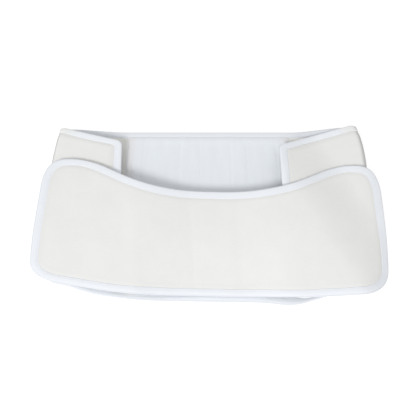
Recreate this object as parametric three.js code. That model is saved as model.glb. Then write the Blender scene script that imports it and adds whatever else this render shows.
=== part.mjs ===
import * as THREE from "three";

// A maternity belt lying closed on a flat surface. Millimetres, X along the belt, Y towards its upper
// edge and Z up. The band lies on its back with its two ends folded in over it, and the front panel
// lies on the folded ends, which its hook patches hold.

// Cloth, binding tape, lining and hook patches
const WALL = 4;
const MARGIN = 2;
const SWELL = 2.5;
const CLEARANCE = 0.3;
const TAPE = 0.65;
const BINDING_WIDTH = 8.5;
const PATCH_THICKNESS = 1.2;
const LINING_THICKNESS = 0.8;
const STAY_RISE = 0.8;
const STAY_RAMP = 1.5;

// Band, as it lies folded
const LEFT_CREASE = 185;
const RIGHT_CREASE = 182;
const BAND_TOP = 116;
const BAND_BOTTOM = 117;
const BAND_FLARE = 3;
const CREASE_CORNER = 30;
const CREASE_TUCK = 14;
const ROLL_LENGTH = 24;
const ROLL_SHARE = 0.5;
const WING_SLOPE = 0.31;
const WING_TUCK = 5;
const WING_UPPER_CORNER = 6;
const WING_LOWER_CORNER = 18;
const LEFT_WING_LENGTH = 66;
const LEFT_WING_BOTTOM = 90;
const LEFT_WING_LEAN = -4;
const LEFT_WING_LOWER_SLOPE = 0.26;
const LEFT_CREASE_BULGE = 10;
const LEFT_CREASE_FULLNESS = 4;
const RIGHT_WING_LENGTH = 88;
const RIGHT_WING_BOTTOM = 96;
const RIGHT_WING_LEAN = 6;
const RIGHT_WING_LOWER_SLOPE = 0.3;
const RIGHT_CREASE_BULGE = 10;
const RIGHT_CREASE_FULLNESS = 8;

// Height of the folded ends over the back, from the middle of one cloth to the middle of the other.
// Between the ends the lower edge of the panel sags to its middle height
const UPPER_LIFT = 18;
const LOWER_LIFT = 9;
const MIDDLE_LIFT = 6;
const LEFT_CREASE_LIFT = 13;
const RIGHT_CREASE_LIFT = 20;
const SAG_START = 30;
const SAG_END = 95;
// How far the back itself curls up off the surface at the upper ends of its folds
const LEFT_CURL = 3;
const RIGHT_CURL = 7;
const CURL_START = 100;

// Front panel, hook patches and lining
const PANEL_WIDTH = 413;
const PANEL_HEIGHT = 164;
const PANEL_ACROSS = 3;
const PANEL_TOP = 61;
const PANEL_TURN = THREE.MathUtils.degToRad(-1.5);
const PATCH_WIDTH = 50;
const PATCH_HEIGHT = 90;
const PATCH_CORNER = 6;
const PATCH_ACROSS = 148;
const PATCH_UP = -20;
const LINING_WIDTH = 196;
const LINING_CORNER = 3;

const BINDING_HALF = MARGIN / 2 + CLEARANCE + TAPE;
const LAYER_HALF = Math.max(WALL / 2, BINDING_HALF);
const LINED_HALF = WALL / 2 + CLEARANCE + LINING_THICKNESS + STAY_RISE;
const STACK = 2 * LAYER_HALF + PATCH_THICKNESS + 2 * CLEARANCE;
const RESTING_LIFT = Math.max(MIDDLE_LIFT, LINED_HALF + CLEARANCE + LAYER_HALF - STACK);
const EDGE_INSET = BINDING_WIDTH + 2 * CLEARANCE;
const CREASE = (LEFT_CREASE + RIGHT_CREASE) / 2;
const BACK_HALF_LENGTH = CREASE - ROLL_SHARE * UPPER_LIFT;

// Ends of the band, by the side they fold over from
const WINGS = {
  left: {
    side: -1,
    crease: LEFT_CREASE,
    length: LEFT_WING_LENGTH,
    bottom: -LEFT_WING_BOTTOM,
    lean: LEFT_WING_LEAN,
    slope: LEFT_WING_LOWER_SLOPE,
    bulge: LEFT_CREASE_BULGE,
    fullness: LEFT_CREASE_FULLNESS,
    lift: LEFT_CREASE_LIFT,
    curl: LEFT_CURL,
  },
  right: {
    side: 1,
    crease: RIGHT_CREASE,
    length: RIGHT_WING_LENGTH,
    bottom: -RIGHT_WING_BOTTOM,
    lean: RIGHT_WING_LEAN,
    slope: RIGHT_WING_LOWER_SLOPE,
    bulge: RIGHT_CREASE_BULGE,
    fullness: RIGHT_CREASE_FULLNESS,
    lift: RIGHT_CREASE_LIFT,
    curl: RIGHT_CURL,
  },
};

// Corners of the back's lower edge between its folds. along is a share of half the back's length, down
// and round are shares of the band's drop below its middle
const LOWER_EDGE = [
  { along: -0.75, down: 0.908, round: 0.14 },
  { along: -0.41, down: 0.973, round: 0.2 },
  { along: 0.355, down: 0.99, round: 0.2 },
  { along: 0.55, down: 1.03, round: 0.13 },
];

// Corners of the front panel, counter-clockwise. along is a share of half its width, up and round are
// shares of its height, and round says how far from the corner its rounding starts
const PANEL_CORNERS = [
  { along: -0.985, up: 0.03, round: 0.21, main: true },
  { along: -0.47, up: -0.071, round: 0.2 },
  { along: 0.484, up: -0.071, round: 0.2 },
  { along: 0.985, up: -0.015, round: 0.19, main: true },
  { along: 1, up: 0.3, round: 0.15 },
  { along: 0.97, up: 0.96, round: 0.23, main: true },
  { along: 0.76, up: 0.99, round: 0.2 },
  { along: 0.33, up: 0.734, round: 0.36 },
  { along: -0.33, up: 0.734, round: 0.36 },
  { along: -0.76, up: 1.005, round: 0.2 },
  { along: -0.985, up: 0.98, round: 0.22, main: true },
  { along: -1, up: 0.3, round: 0.15 },
];

// Stays sewn into the lining. along is a share of half its width, width a share of its whole width
const STAYS = [
  { along: -0.86, width: 0.04 },
  { along: -0.24, width: 0.1 },
  { along: 0.35, width: 0.08 },
  { along: 0.86, width: 0.04 },
];

const { lerp, smoothstep, clamp } = THREE.MathUtils;

// Height of the folded ends' cloth over the back's. Between the ends it sags, but not into the lining
function liftAt(x, y) {
  const far = Math.abs(x);
  const { lift } = x < 0 ? WINGS.left : WINGS.right;
  const lower = lerp(RESTING_LIFT, LOWER_LIFT, smoothstep(far, SAG_START, SAG_END));
  const upper = lerp(UPPER_LIFT, lift, smoothstep(far, SAG_END, CREASE));
  return lerp(lower, upper, (y + BAND_BOTTOM) / (BAND_TOP + BAND_BOTTOM));
}

// Outermost line of a fold, by the share of the way up it
function creaseAt(wing, share) {
  return wing.crease + wing.bulge * (1 - share ** wing.fullness) - CREASE_TUCK * (1 - share) ** 4;
}

// Middle of the band's cloth. u runs along the band from the middle of its back, and v up it
function bandPlace(u, v) {
  const wing = u < 0 ? WINGS.left : WINGS.right;
  const share = clamp((v - wing.bottom) / (BAND_TOP - wing.bottom), 0, 1);
  const curl = wing.curl * share ** 2;
  const outermost = creaseAt(wing, share);
  const bulge = ROLL_SHARE * (liftAt(wing.side * outermost, v) - curl);
  const start = outermost - bulge;
  const rolled = Math.abs(u) - BACK_HALF_LENGTH;
  const flat = Math.min(start, (Math.abs(u) * start) / BACK_HALF_LENGTH);
  const ending = smoothstep(flat, CURL_START, start);
  const low = LAYER_HALF + curl * ending;
  const flared = v + BAND_FLARE * share ** 2 * ending;
  if (rolled <= 0) return new THREE.Vector3(wing.side * flat, flared, low);
  const tucked = flared - WING_TUCK * share;
  if (rolled <= ROLL_LENGTH) {
    const angle = Math.PI * (rolled / ROLL_LENGTH - 0.5);
    const turned = (1 + Math.sin(angle)) / 2;
    const high = LAYER_HALF + liftAt(wing.side * start, tucked);
    const x = start + bulge * Math.cos(angle);
    return new THREE.Vector3(wing.side * x, lerp(flared, tucked, turned), lerp(low, high, turned));
  }
  const end = BACK_HALF_LENGTH - wing.length + wing.lean * (1 - share);
  const x = lerp(start, end, (rolled - ROLL_LENGTH) / wing.length);
  const y = tucked - lerp(wing.slope, WING_SLOPE, share) * (start - x);
  return new THREE.Vector3(wing.side * x, y, LAYER_HALF + liftAt(wing.side * x, y));
}

// Middle of the front panel's cloth, and of the hook patches between it and the folded ends
function panelPlace(x, y) {
  return new THREE.Vector3(x, y, LAYER_HALF + liftAt(x, y) + STACK);
}

function patchPlace(x, y) {
  return new THREE.Vector3(x, y, LAYER_HALF + liftAt(x, y) + STACK / 2);
}

// Unit normal of a cloth, towards the side that shows when u runs right and v runs up
function normalAt(place, u, v) {
  const step = 0.5;
  const along = place(u + step, v).sub(place(u - step, v));
  const up = place(u, v + step).sub(place(u, v - step));
  return along.cross(up).normalize();
}

// Moves the corners of an outline inward by one distance
function insetCorners(corners, distance) {
  return corners.map((corner, i) => {
    const before = corners.at(i - 1);
    const after = corners[(i + 1) % corners.length];
    const a = new THREE.Vector2(corner.u - before.u, corner.v - before.v).normalize();
    const b = new THREE.Vector2(after.u - corner.u, after.v - corner.v).normalize();
    const reach = distance / (1 + a.dot(b));
    return {
      ...corner,
      u: corner.u - (a.y + b.y) * reach,
      v: corner.v + (a.x + b.x) * reach,
      round: Math.max(corner.round - distance, CLEARANCE * 4),
    };
  });
}

// Closed line with its corners rounded. Its marks are the shares of its length at its four main corners
function roundedLine(corners) {
  const line = new THREE.CurvePath();
  const marks = [];
  const rounds = corners.map((corner, i) => {
    const here = new THREE.Vector2(corner.u, corner.v);
    const ends = [corners.at(i - 1), corners[(i + 1) % corners.length]].map((other) => {
      const towards = new THREE.Vector2(other.u, other.v).sub(here);
      const reach = Math.min(corner.round, towards.length() * 0.49);
      return towards.setLength(reach).add(here);
    });
    return { curve: new THREE.QuadraticBezierCurve(ends[0], here, ends[1]), main: corner.main };
  });
  rounds.forEach(({ curve, main }, i) => {
    if (main) marks.push(line.curves.reduce((sum, part) => sum + part.getLength(), curve.getLength() / 2));
    line.add(curve);
    line.add(new THREE.LineCurve(curve.v2, rounds[(i + 1) % rounds.length].curve.v0));
  });
  const length = line.getLength();
  return { line, marks: marks.map((mark) => mark / length) };
}

// The four sides of a rounded line as points: lower and upper run right, left and right run up
function sidesOf(corners, along, across) {
  const { line, marks } = roundedLine(corners);
  const side = (i, shares) => {
    const from = marks[i];
    const to = marks[i + 1] ?? marks[0] + 1;
    return shares.map((share) => line.getPoint(lerp(from, to, share) % 1));
  };
  const backwards = (shares) => shares.map((share) => 1 - share);
  return {
    lower: side(0, along),
    right: side(1, across),
    upper: side(2, backwards(along)),
    left: side(3, backwards(across)),
  };
}

// The points of four sides in one loop, counter-clockwise
function loopOf({ lower, right, upper, left }) {
  const backUpper = [...upper].reverse();
  const backLeft = [...left].reverse();
  return [lower, right, backUpper, backLeft].flatMap((side) => side.slice(0, -1));
}

// Evenly spread shares from 0 to 1
function evenShares(count) {
  return Array.from({ length: count + 1 }, (_, i) => i / count);
}

// Shares of the stretch from the first stop to the last, with so many steps between each two stops
function stopShares(stops, steps) {
  const places = [stops[0]];
  steps.forEach((count, i) => {
    for (let k = 1; k <= count; k += 1) places.push(lerp(stops[i], stops[i + 1], k / count));
  });
  return places.map((place) => (place - stops[0]) / (stops.at(-1) - stops[0]));
}

function geometryOf(points, faces) {
  const geometry = new THREE.BufferGeometry();
  geometry.setAttribute("position", new THREE.Float32BufferAttribute(points.flatMap((p) => p.toArray()), 3));
  geometry.setIndex(faces.flat());
  geometry.computeVertexNormals();
  return geometry;
}

// Closed sheet of cloth inside a rounded outline. top and bottom give its faces' distances from the
// middle surface, by the place on the sheet and the ring it is in
function sheet({ corners, insets, along, across, place, top, bottom }) {
  const points = [];
  const faces = [];
  const add = (point, ring) => {
    const middle = place(point.x, point.y);
    const normal = normalAt(place, point.x, point.y);
    points.push(middle.clone().addScaledVector(normal, top(point, ring)));
    points.push(middle.clone().addScaledVector(normal, -bottom(point, ring)));
    return points.length / 2 - 1;
  };
  const quad = (a, b, c, d) => {
    faces.push([2 * a, 2 * b, 2 * c], [2 * a, 2 * c, 2 * d]);
    faces.push([2 * a + 1, 2 * c + 1, 2 * b + 1], [2 * a + 1, 2 * d + 1, 2 * c + 1]);
  };
  const rings = insets.map((inset) => sidesOf(insetCorners(corners, inset), along, across));
  const loops = rings.map((sides, ring) => loopOf(sides).map((point) => add(point, ring)));
  const outer = loops[0];
  outer.forEach((a, i) => {
    const b = outer[(i + 1) % outer.length];
    faces.push([2 * a + 1, 2 * b + 1, 2 * b], [2 * a + 1, 2 * b, 2 * a]);
  });
  loops.slice(1).forEach((inner, ring) => {
    inner.forEach((a, i) => {
      const next = (i + 1) % inner.length;
      quad(loops[ring][i], loops[ring][next], inner[next], a);
    });
  });

  // The inside is a grid blended from the innermost ring's four sides
  const { lower, upper, left, right } = rings.at(-1);
  const last = loops.at(-1);
  const columns = along.length - 1;
  const rows = across.length - 1;
  const edge = (i, j) => {
    if (j === 0) return last[i];
    if (i === columns) return last[columns + j];
    if (j === rows) return last[2 * columns + rows - i];
    if (i === 0) return last[(2 * columns + 2 * rows - j) % last.length];
    return null;
  };
  const blended = (i, j) => {
    const s = along[i];
    const t = across[j];
    const mix = (a, b, share) => a.clone().lerp(b, share);
    const upright = mix(lower[i], upper[i], t);
    const level = mix(left[j], right[j], s);
    const flat = mix(mix(lower[0], lower[columns], s), mix(upper[0], upper[columns], s), t);
    return upright.add(level).sub(flat);
  };
  const grid = along.map((_, i) => across.map((__, j) => edge(i, j) ?? add(blended(i, j), rings.length)));
  for (let i = 0; i < columns; i += 1) {
    for (let j = 0; j < rows; j += 1) {
      const cell = [grid[i][j], grid[i + 1][j], grid[i + 1][j + 1], grid[i][j + 1]];
      const cornerFirst = (i === 0) === (j === 0);
      quad(...(cornerFirst ? cell : [...cell.slice(1), cell[0]]));
    }
  }
  return geometryOf(points, faces);
}

// Padded cloth: full thickness inside, pressed flat at the edge where the binding holds it
function paddedSheet(corners, along, across, place) {
  const half = (_, ring) => (ring < 2 ? MARGIN : WALL) / 2;
  const insets = [0, BINDING_WIDTH, BINDING_WIDTH + SWELL];
  return sheet({ corners, insets, along, across, place, top: half, bottom: half });
}

// Tape folded over the edge of a cloth, all the way round it
function binding(corners, along, across, place) {
  const outer = loopOf(sidesOf(corners, along, across));
  const inner = loopOf(sidesOf(insetCorners(corners, BINDING_WIDTH), along, across));
  const inside = MARGIN / 2 + CLEARANCE;
  const crown = BINDING_HALF * 0.6;
  const points = outer.flatMap((point, i) => {
    const rim = place(point.x, point.y);
    const hem = place(inner[i].x, inner[i].y);
    const rimNormal = normalAt(place, point.x, point.y);
    const hemNormal = normalAt(place, inner[i].x, inner[i].y);
    const outward = rim.clone().sub(hem).normalize();
    const atRim = (out, up) => rim.clone().addScaledVector(outward, out).addScaledVector(rimNormal, up);
    const atHem = (up) => hem.clone().addScaledVector(hemNormal, up);
    return [
      atHem(BINDING_HALF),
      atRim(CLEARANCE, BINDING_HALF),
      atRim(CLEARANCE + TAPE, crown),
      atRim(CLEARANCE + TAPE, -crown),
      atRim(CLEARANCE, -BINDING_HALF),
      atHem(-BINDING_HALF),
      atHem(-inside),
      atRim(CLEARANCE, -inside),
      atRim(CLEARANCE, inside),
      atHem(inside),
    ];
  });
  const sides = points.length / outer.length;
  // Faces that run from hem to rim are split the other way, so that they match the cloth's own faces
  const towardsRim = [0, 6];
  const faces = outer.flatMap((_, i) => {
    const here = i * sides;
    const next = ((i + 1) % outer.length) * sides;
    return Array.from({ length: sides }, (__, j) => {
      const k = (j + 1) % sides;
      return towardsRim.includes(j)
        ? [here + j, here + k, next + j, here + k, next + k, next + j]
        : [here + j, here + k, next + k, here + j, next + k, next + j];
    });
  });
  return geometryOf(points, faces);
}

// Outline of the band laid flat, counter-clockwise from its left end's lower corner
function bandCorners() {
  const end = (wing) => wing.side * (BACK_HALF_LENGTH + ROLL_LENGTH + wing.length);
  const { left, right } = WINGS;
  return [
    { u: end(left), v: left.bottom, round: WING_LOWER_CORNER, main: true },
    { u: -BACK_HALF_LENGTH, v: left.bottom, round: CREASE_CORNER },
    ...LOWER_EDGE.map(({ along, down, round }) => {
      return { u: along * BACK_HALF_LENGTH, v: -down * BAND_BOTTOM, round: round * BAND_BOTTOM };
    }),
    { u: BACK_HALF_LENGTH, v: right.bottom, round: CREASE_CORNER },
    { u: end(right), v: right.bottom, round: WING_LOWER_CORNER, main: true },
    { u: end(right), v: BAND_TOP, round: WING_UPPER_CORNER, main: true },
    { u: end(left), v: BAND_TOP, round: WING_UPPER_CORNER, main: true },
  ];
}

function panelCorners() {
  const middle = new THREE.Vector2(PANEL_ACROSS, 0);
  return PANEL_CORNERS.map(({ along, up, round, main }) => {
    const x = PANEL_ACROSS + (along * PANEL_WIDTH) / 2;
    const y = PANEL_TOP + (up - 1) * PANEL_HEIGHT;
    const turned = new THREE.Vector2(x, y).rotateAround(middle, PANEL_TURN);
    return { u: turned.x, v: turned.y, round: round * PANEL_HEIGHT, main };
  });
}

function rectangle(across, up, width, height, round) {
  const corner = (x, y) => ({ u: across + (x * width) / 2, v: up + (y * height) / 2, round, main: true });
  return [corner(-1, -1), corner(1, -1), corner(1, 1), corner(-1, 1)];
}

function hookPatch(side) {
  const half = () => PATCH_THICKNESS / 2;
  return sheet({
    corners: rectangle(side * PATCH_ACROSS, PATCH_UP, PATCH_WIDTH, PATCH_HEIGHT, PATCH_CORNER),
    insets: [0],
    along: evenShares(4),
    across: evenShares(4),
    place: patchPlace,
    top: half,
    bottom: half,
  });
}

// The lining lies on the inner face of the back, with the stays raised in it
function lining() {
  const width = LINING_WIDTH;
  const stays = STAYS.map((stay) => {
    const middle = (stay.along * width) / 2;
    const half = (stay.width * width) / 2;
    return [middle - half - STAY_RAMP, middle - half, middle + half, middle + half + STAY_RAMP];
  });
  const stops = [-width / 2, ...stays.flat(), width / 2];
  const overStay = (x, [start, , , end]) => Math.min(x - start, end - x) / STAY_RAMP;
  const raised = (x) => Math.max(...stays.map((stay) => overStay(x, stay)));
  const height = BAND_TOP + BAND_BOTTOM - 2 * EDGE_INSET;
  const under = WALL / 2 + CLEARANCE;
  return sheet({
    corners: rectangle(0, (BAND_TOP - BAND_BOTTOM) / 2, width, height, LINING_CORNER),
    insets: [0],
    along: stopShares(stops, stops.slice(1).map(() => 1)),
    across: evenShares(6),
    place: bandPlace,
    top: (point) => under + LINING_THICKNESS + STAY_RISE * clamp(raised(point.x), 0, 1),
    bottom: () => -under,
  });
}

const cream = { color: 0xf3f2ea, roughness: 0.95, metalness: 0 };
const white = { color: 0xf7f9fc, roughness: 0.8, metalness: 0 };
const blueWhite = { color: 0xe6ebf2, roughness: 0.85, metalness: 0 };
const hookTape = { color: 0xf0f0ee, roughness: 0.7, metalness: 0 };

const belt = new THREE.Group();

function addPiece(name, geometry, finish) {
  const mesh = new THREE.Mesh(geometry, new THREE.MeshStandardMaterial(finish));
  mesh.name = name;
  belt.add(mesh);
}

// Steps along the band: round its corners, along its ends, round the folds and along its back
const bandStops = [
  -BACK_HALF_LENGTH - ROLL_LENGTH - LEFT_WING_LENGTH,
  -BACK_HALF_LENGTH - ROLL_LENGTH - LEFT_WING_LENGTH + WING_UPPER_CORNER,
  -BACK_HALF_LENGTH - ROLL_LENGTH,
  -BACK_HALF_LENGTH,
  BACK_HALF_LENGTH,
  BACK_HALF_LENGTH + ROLL_LENGTH,
  BACK_HALF_LENGTH + ROLL_LENGTH + RIGHT_WING_LENGTH - WING_UPPER_CORNER,
  BACK_HALF_LENGTH + ROLL_LENGTH + RIGHT_WING_LENGTH,
];
const bandAlong = stopShares(bandStops, [3, 3, 7, 14, 7, 4, 3]);
const endHeight = BAND_TOP + LEFT_WING_BOTTOM;
const bandAcross = stopShares([0, WING_LOWER_CORNER, endHeight - WING_UPPER_CORNER, endHeight], [3, 5, 2]);
const band = bandCorners();
addPiece("band", paddedSheet(band, bandAlong, bandAcross, bandPlace), cream);
addPiece("band_binding", binding(band, bandAlong, bandAcross, bandPlace), white);
addPiece("back_lining", lining(), blueWhite);

const panel = panelCorners();
const panelAlong = stopShares([0, 0.08, 0.92, 1], [4, 22, 4]);
const panelAcross = stopShares([0, 0.2, 0.8, 1], [4, 5, 4]);
addPiece("front_panel", paddedSheet(panel, panelAlong, panelAcross, panelPlace), cream);
addPiece("front_panel_binding", binding(panel, panelAlong, panelAcross, panelPlace), white);
addPiece("hook_patch_left", hookPatch(-1), hookTape);
addPiece("hook_patch_right", hookPatch(1), hookTape);

// The origin is on the surface the belt lies on, under the middle of it
const box = new THREE.Box3().setFromObject(belt);
const middle = box.getCenter(new THREE.Vector3());
belt.position.set(-middle.x, -middle.y, -box.min.z);

export default belt;
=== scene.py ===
import math

import bpy
import numpy as np
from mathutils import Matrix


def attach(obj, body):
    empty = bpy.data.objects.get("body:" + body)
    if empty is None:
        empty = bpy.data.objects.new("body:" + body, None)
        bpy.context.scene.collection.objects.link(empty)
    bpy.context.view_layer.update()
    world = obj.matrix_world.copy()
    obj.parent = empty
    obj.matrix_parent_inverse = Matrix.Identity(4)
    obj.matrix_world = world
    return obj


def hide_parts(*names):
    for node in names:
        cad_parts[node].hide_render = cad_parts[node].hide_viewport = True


bl_info = {
    "name": "Maternity belt",
    "version": (1, 0, 0),
    "blender": (4, 5, 0),
    "location": "View3D > Sidebar > Belt",
    "description": "Makes the cloth, tape, lining and stitching of a maternity belt that lies closed",
    "category": "Object",
}

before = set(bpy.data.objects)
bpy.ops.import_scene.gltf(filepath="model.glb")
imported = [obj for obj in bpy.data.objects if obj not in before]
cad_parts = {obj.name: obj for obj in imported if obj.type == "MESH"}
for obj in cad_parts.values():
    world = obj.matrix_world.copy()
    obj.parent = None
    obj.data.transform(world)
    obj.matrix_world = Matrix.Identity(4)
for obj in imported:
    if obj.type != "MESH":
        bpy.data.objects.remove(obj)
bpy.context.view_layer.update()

# Millimetres, as in the solids' own source. Points go to metres when a mesh is made
MM = 0.001
MOVED = np.array([-1.612, -0.3031, 0.0])
WALL = 4.0
MARGIN = 2.0
CLEARANCE = 0.3
TAPE = 0.65
TAPE_WIDTH = 8.5
PATCH_THICKNESS = 1.2
LINING_THICKNESS = 0.8
STAY_RISE = 0.8
STAY_RAMP = 1.5

BAND_TOP = 116.0
BAND_BOTTOM = 117.0
BAND_FLARE = 3.0
CREASE_TUCK = 14.0
ROLL_LENGTH = 24.0
ROLL_SHARE = 0.5
WING_SLOPE = 0.31
WING_TUCK = 5.0
WING_UPPER_CORNER = 6.0
WING_LOWER_CORNER = 26.0
CREASE_CORNER = 30.0
LEFT_WING = {
    "side": -1.0, "crease": 185.0, "length": 66.0, "bottom": -90.0, "lean": -4.0,
    "slope": 0.26, "bulge": 10.0, "fullness": 4.0, "lift": 13.0, "curl": 3.0,
}
RIGHT_WING = {
    "side": 1.0, "crease": 182.0, "length": 88.0, "bottom": -96.0, "lean": 6.0,
    "slope": 0.3, "bulge": 10.0, "fullness": 8.0, "lift": 20.0, "curl": 7.0,
}
BACK_CROWN = 0.9
BACK_CROWN_UP = 107.0
BACK_HEM_LIFT = 1.0
UPPER_LIFT = 18.0
LOWER_LIFT = 9.0
MIDDLE_LIFT = 6.0
SAG_START = 30.0
SAG_END = 95.0
CURL_START = 100.0

PANEL_WIDTH = 413.0
PANEL_HEIGHT = 164.0
PANEL_ACROSS = 3.0
PANEL_TOP = 61.0
PANEL_TURN = math.radians(-1.5)
PATCH_WIDTH = 50.0
PATCH_HEIGHT = 90.0
PATCH_CORNER = 6.0
PATCH_ACROSS = 148.0
PATCH_UP = -20.0
LINING_WIDTH = 196.0
LINING_CORNER = 5.0

# The right end's crest: the point and the slanting direction that its steps are measured from, and each
# step's start, end and rise
CREST_AT = (111, 28)
CREST_ACROSS = (0.886, 0.465)
CREST_STEPS = [(-125, -12, 3.6), (-14, 55, -13.2), (55, 115, 0.8)]
# Upright folds in the front panel, each a step with its start, end and rise along a slightly slanting line
FOLD_SLANT = 0.06
FOLDS = [(-150, -128, 0.4), (-106, -84, 1.4), (20, 33, -0.55), (40, 70, 0.5)]
FOLD_CREASE = (-18, 3.5, 0.12)
# The panel falls towards its middle, and is crowned from its lower to its upper edge
FALL_START = -70
FALL_LENGTH = 47
FALL = 3.5
PANEL_CROWN = 1.9
PANEL_CROWN_UP = -22
PANEL_CROWN_REACH = 84
# The sag of its lower edge between the folded ends
EDGE_SAG = 4.2
# Its right end turns down past this place
TURN_START = 180
TURN_REACH = 9
TURN_DEPTH = 0.6

SQUARE = [(-1, -1), (1, -1), (1, 1), (-1, 1)]
# How far raised cloth leans towards the lower edge, as a share of its rise
LEAN = 0.577
# Ring insets of the padded cloths, the lining and the hook patches, closer together at their seams
CLOTH_INSETS = [1.0, 7.6, 8.4, 8.9, 9.5, 10.3, 11.2, 12.4]
LINING_INSETS = [0, 0.35, 0.9, 1.6, 2.2, 2.8, 3.4, 4.2]
PATCH_INSETS = [0, 0.4, 1.0, 1.8, 3.0]
LINING_CELLS = (210, 72)
PATCH_CELLS = (36, 60)
TAPE_STEP = 1.7
# Steps round one corner of an outline, and points on a seam's line
BEND_STEPS = 32
LINE_POINTS = 1500
# The two hidden points of a folded tape's section, inside the fold
TAPE_INSIDE = [(0.45, -1.14), (0.45, 1.14)]
# Where the seams lie: in from the tape's hem, in from the lining's edge and beside each stay
TAPE_SEAM = 1.55
LINING_SEAM = 2.6
STAY_SEAM = 0.6
# A stitch's rings and the corners of each
STITCH_RINGS = 6
STITCH_SIDES = 6

# Camera, light and floor, in metres, degrees and watts. Lens and shifts are in pixels of the view
CAMERA_AWAY = 1.08
CAMERA_UP = 60
VIEW_SIDE = 416
LENS_PIXELS = 900
SHIFT_PIXELS = (-1.4, 6)
KEY_PLACE = (-1.15, -2.45, 2.35)
KEY_SIZE = 1.0
KEY_POWER = 71
SKY_STRENGTH = 0.72
FLOOR_SIDE = 4.0
FLOOR_BELOW = -0.0002
FLOOR_GLOW = 0.76

LAYER_HALF = WALL / 2
LINED_HALF = WALL / 2 + CLEARANCE + LINING_THICKNESS + STAY_RISE
STACK = 2 * LAYER_HALF + PATCH_THICKNESS + 2 * CLEARANCE
RESTING_LIFT = max(MIDDLE_LIFT, LINED_HALF + CLEARANCE + LAYER_HALF - STACK)
LINING_INSET = TAPE_WIDTH - 0.5
LINING_HEIGHT = BAND_TOP + BAND_BOTTOM - 2 * LINING_INSET
CREASE = (LEFT_WING["crease"] + RIGHT_WING["crease"]) / 2
BACK_HALF_LENGTH = CREASE - ROLL_SHARE * UPPER_LIFT

# Corners of the back's lower edge between its folds: along is a share of half the back's length, down
# and round are shares of the band's drop below its middle
LOWER_EDGE = [(-0.75, 0.908, 0.14), (-0.41, 0.973, 0.2), (0.355, 0.99, 0.2), (0.55, 1.03, 0.13)]
# Corners of the front panel: along is a share of half its width, up and round are shares of its height
PANEL_CORNERS = [
    (-0.985, 0.03, 0.21, True),
    (-0.47, -0.071, 0.2, False),
    (0.484, -0.071, 0.2, False),
    (0.985, -0.015, 0.19, True),
    (1.0, 0.3, 0.15, False),
    (0.97, 0.96, 0.23, True),
    (0.76, 0.99, 0.2, False),
    (0.33, 0.734, 0.36, False),
    (-0.33, 0.734, 0.36, False),
    (-0.76, 1.005, 0.2, False),
    (-0.985, 0.98, 0.22, True),
    (-1.0, 0.3, 0.15, False),
]
# Stays in the lining: along is a share of half its width, width a share of its whole width
STAYS = [(-0.86, 0.04), (-0.24, 0.1), (0.35, 0.08), (0.86, 0.04)]


# Numbers over many points at once


def smooth(value, start, end):
    """0 before start, 1 after end and an even curve between them"""
    part = np.clip((value - start) / (end - start), 0, 1)
    return part * part * (3 - 2 * part)


def steps(value, each):
    """Smooth steps added up, each given by its start, end and rise"""
    return sum(rise * smooth(value, start, end) for start, end, rise in each)


def unevenness(points, size, seed):
    """Smooth bumps from -1 to 1 over flat points, each about so wide"""
    cell = np.floor(points / size).astype(np.int64)
    part = points / size - cell
    part = part * part * (3 - 2 * part)

    def corner(i, j):
        mixed = (cell[..., 0] + i) * 73856093 ^ (cell[..., 1] + j) * 19349663 ^ seed * 83492791
        mixed = (mixed ^ (mixed >> 13)) * 1274126177
        return ((mixed >> 8) & 0xFFFF) / 32767.5 - 1

    lower = corner(0, 0) * (1 - part[..., 0]) + corner(1, 0) * part[..., 0]
    upper = corner(0, 1) * (1 - part[..., 0]) + corner(1, 1) * part[..., 0]
    return lower * (1 - part[..., 1]) + upper * part[..., 1]


def ridge(value, middle, width):
    """A rounded ridge, 1 high in the middle"""
    return np.exp(-(((value - middle) / width) ** 2))


# Surfaces that the cloths lie on


def raised(place, height):
    """Cloth raised by a height. It leans towards the lower edge as it rises"""
    return place + height[..., None] * np.array([0.0, -LEAN, 1.0])


def crest_at(x, y):
    """How much the right end stands up along a slanting crest, and falls away beyond it"""
    past = (x - CREST_AT[0]) * CREST_ACROSS[0] + (y - CREST_AT[1]) * CREST_ACROSS[1]
    return steps(past, CREST_STEPS) * smooth(x, 0, 30)


def lift_at(x, y):
    """Height of the folded ends' cloth over the back's"""
    far = np.abs(x)
    lift = np.where(x < 0, LEFT_WING["lift"], RIGHT_WING["lift"])
    lower = RESTING_LIFT + (LOWER_LIFT - RESTING_LIFT) * smooth(far, SAG_START, SAG_END)
    upper = UPPER_LIFT + (lift - UPPER_LIFT) * smooth(far, SAG_END, CREASE)
    share = (y + BAND_BOTTOM) / (BAND_TOP + BAND_BOTTOM)
    return lower + (upper - lower) * share


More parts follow.
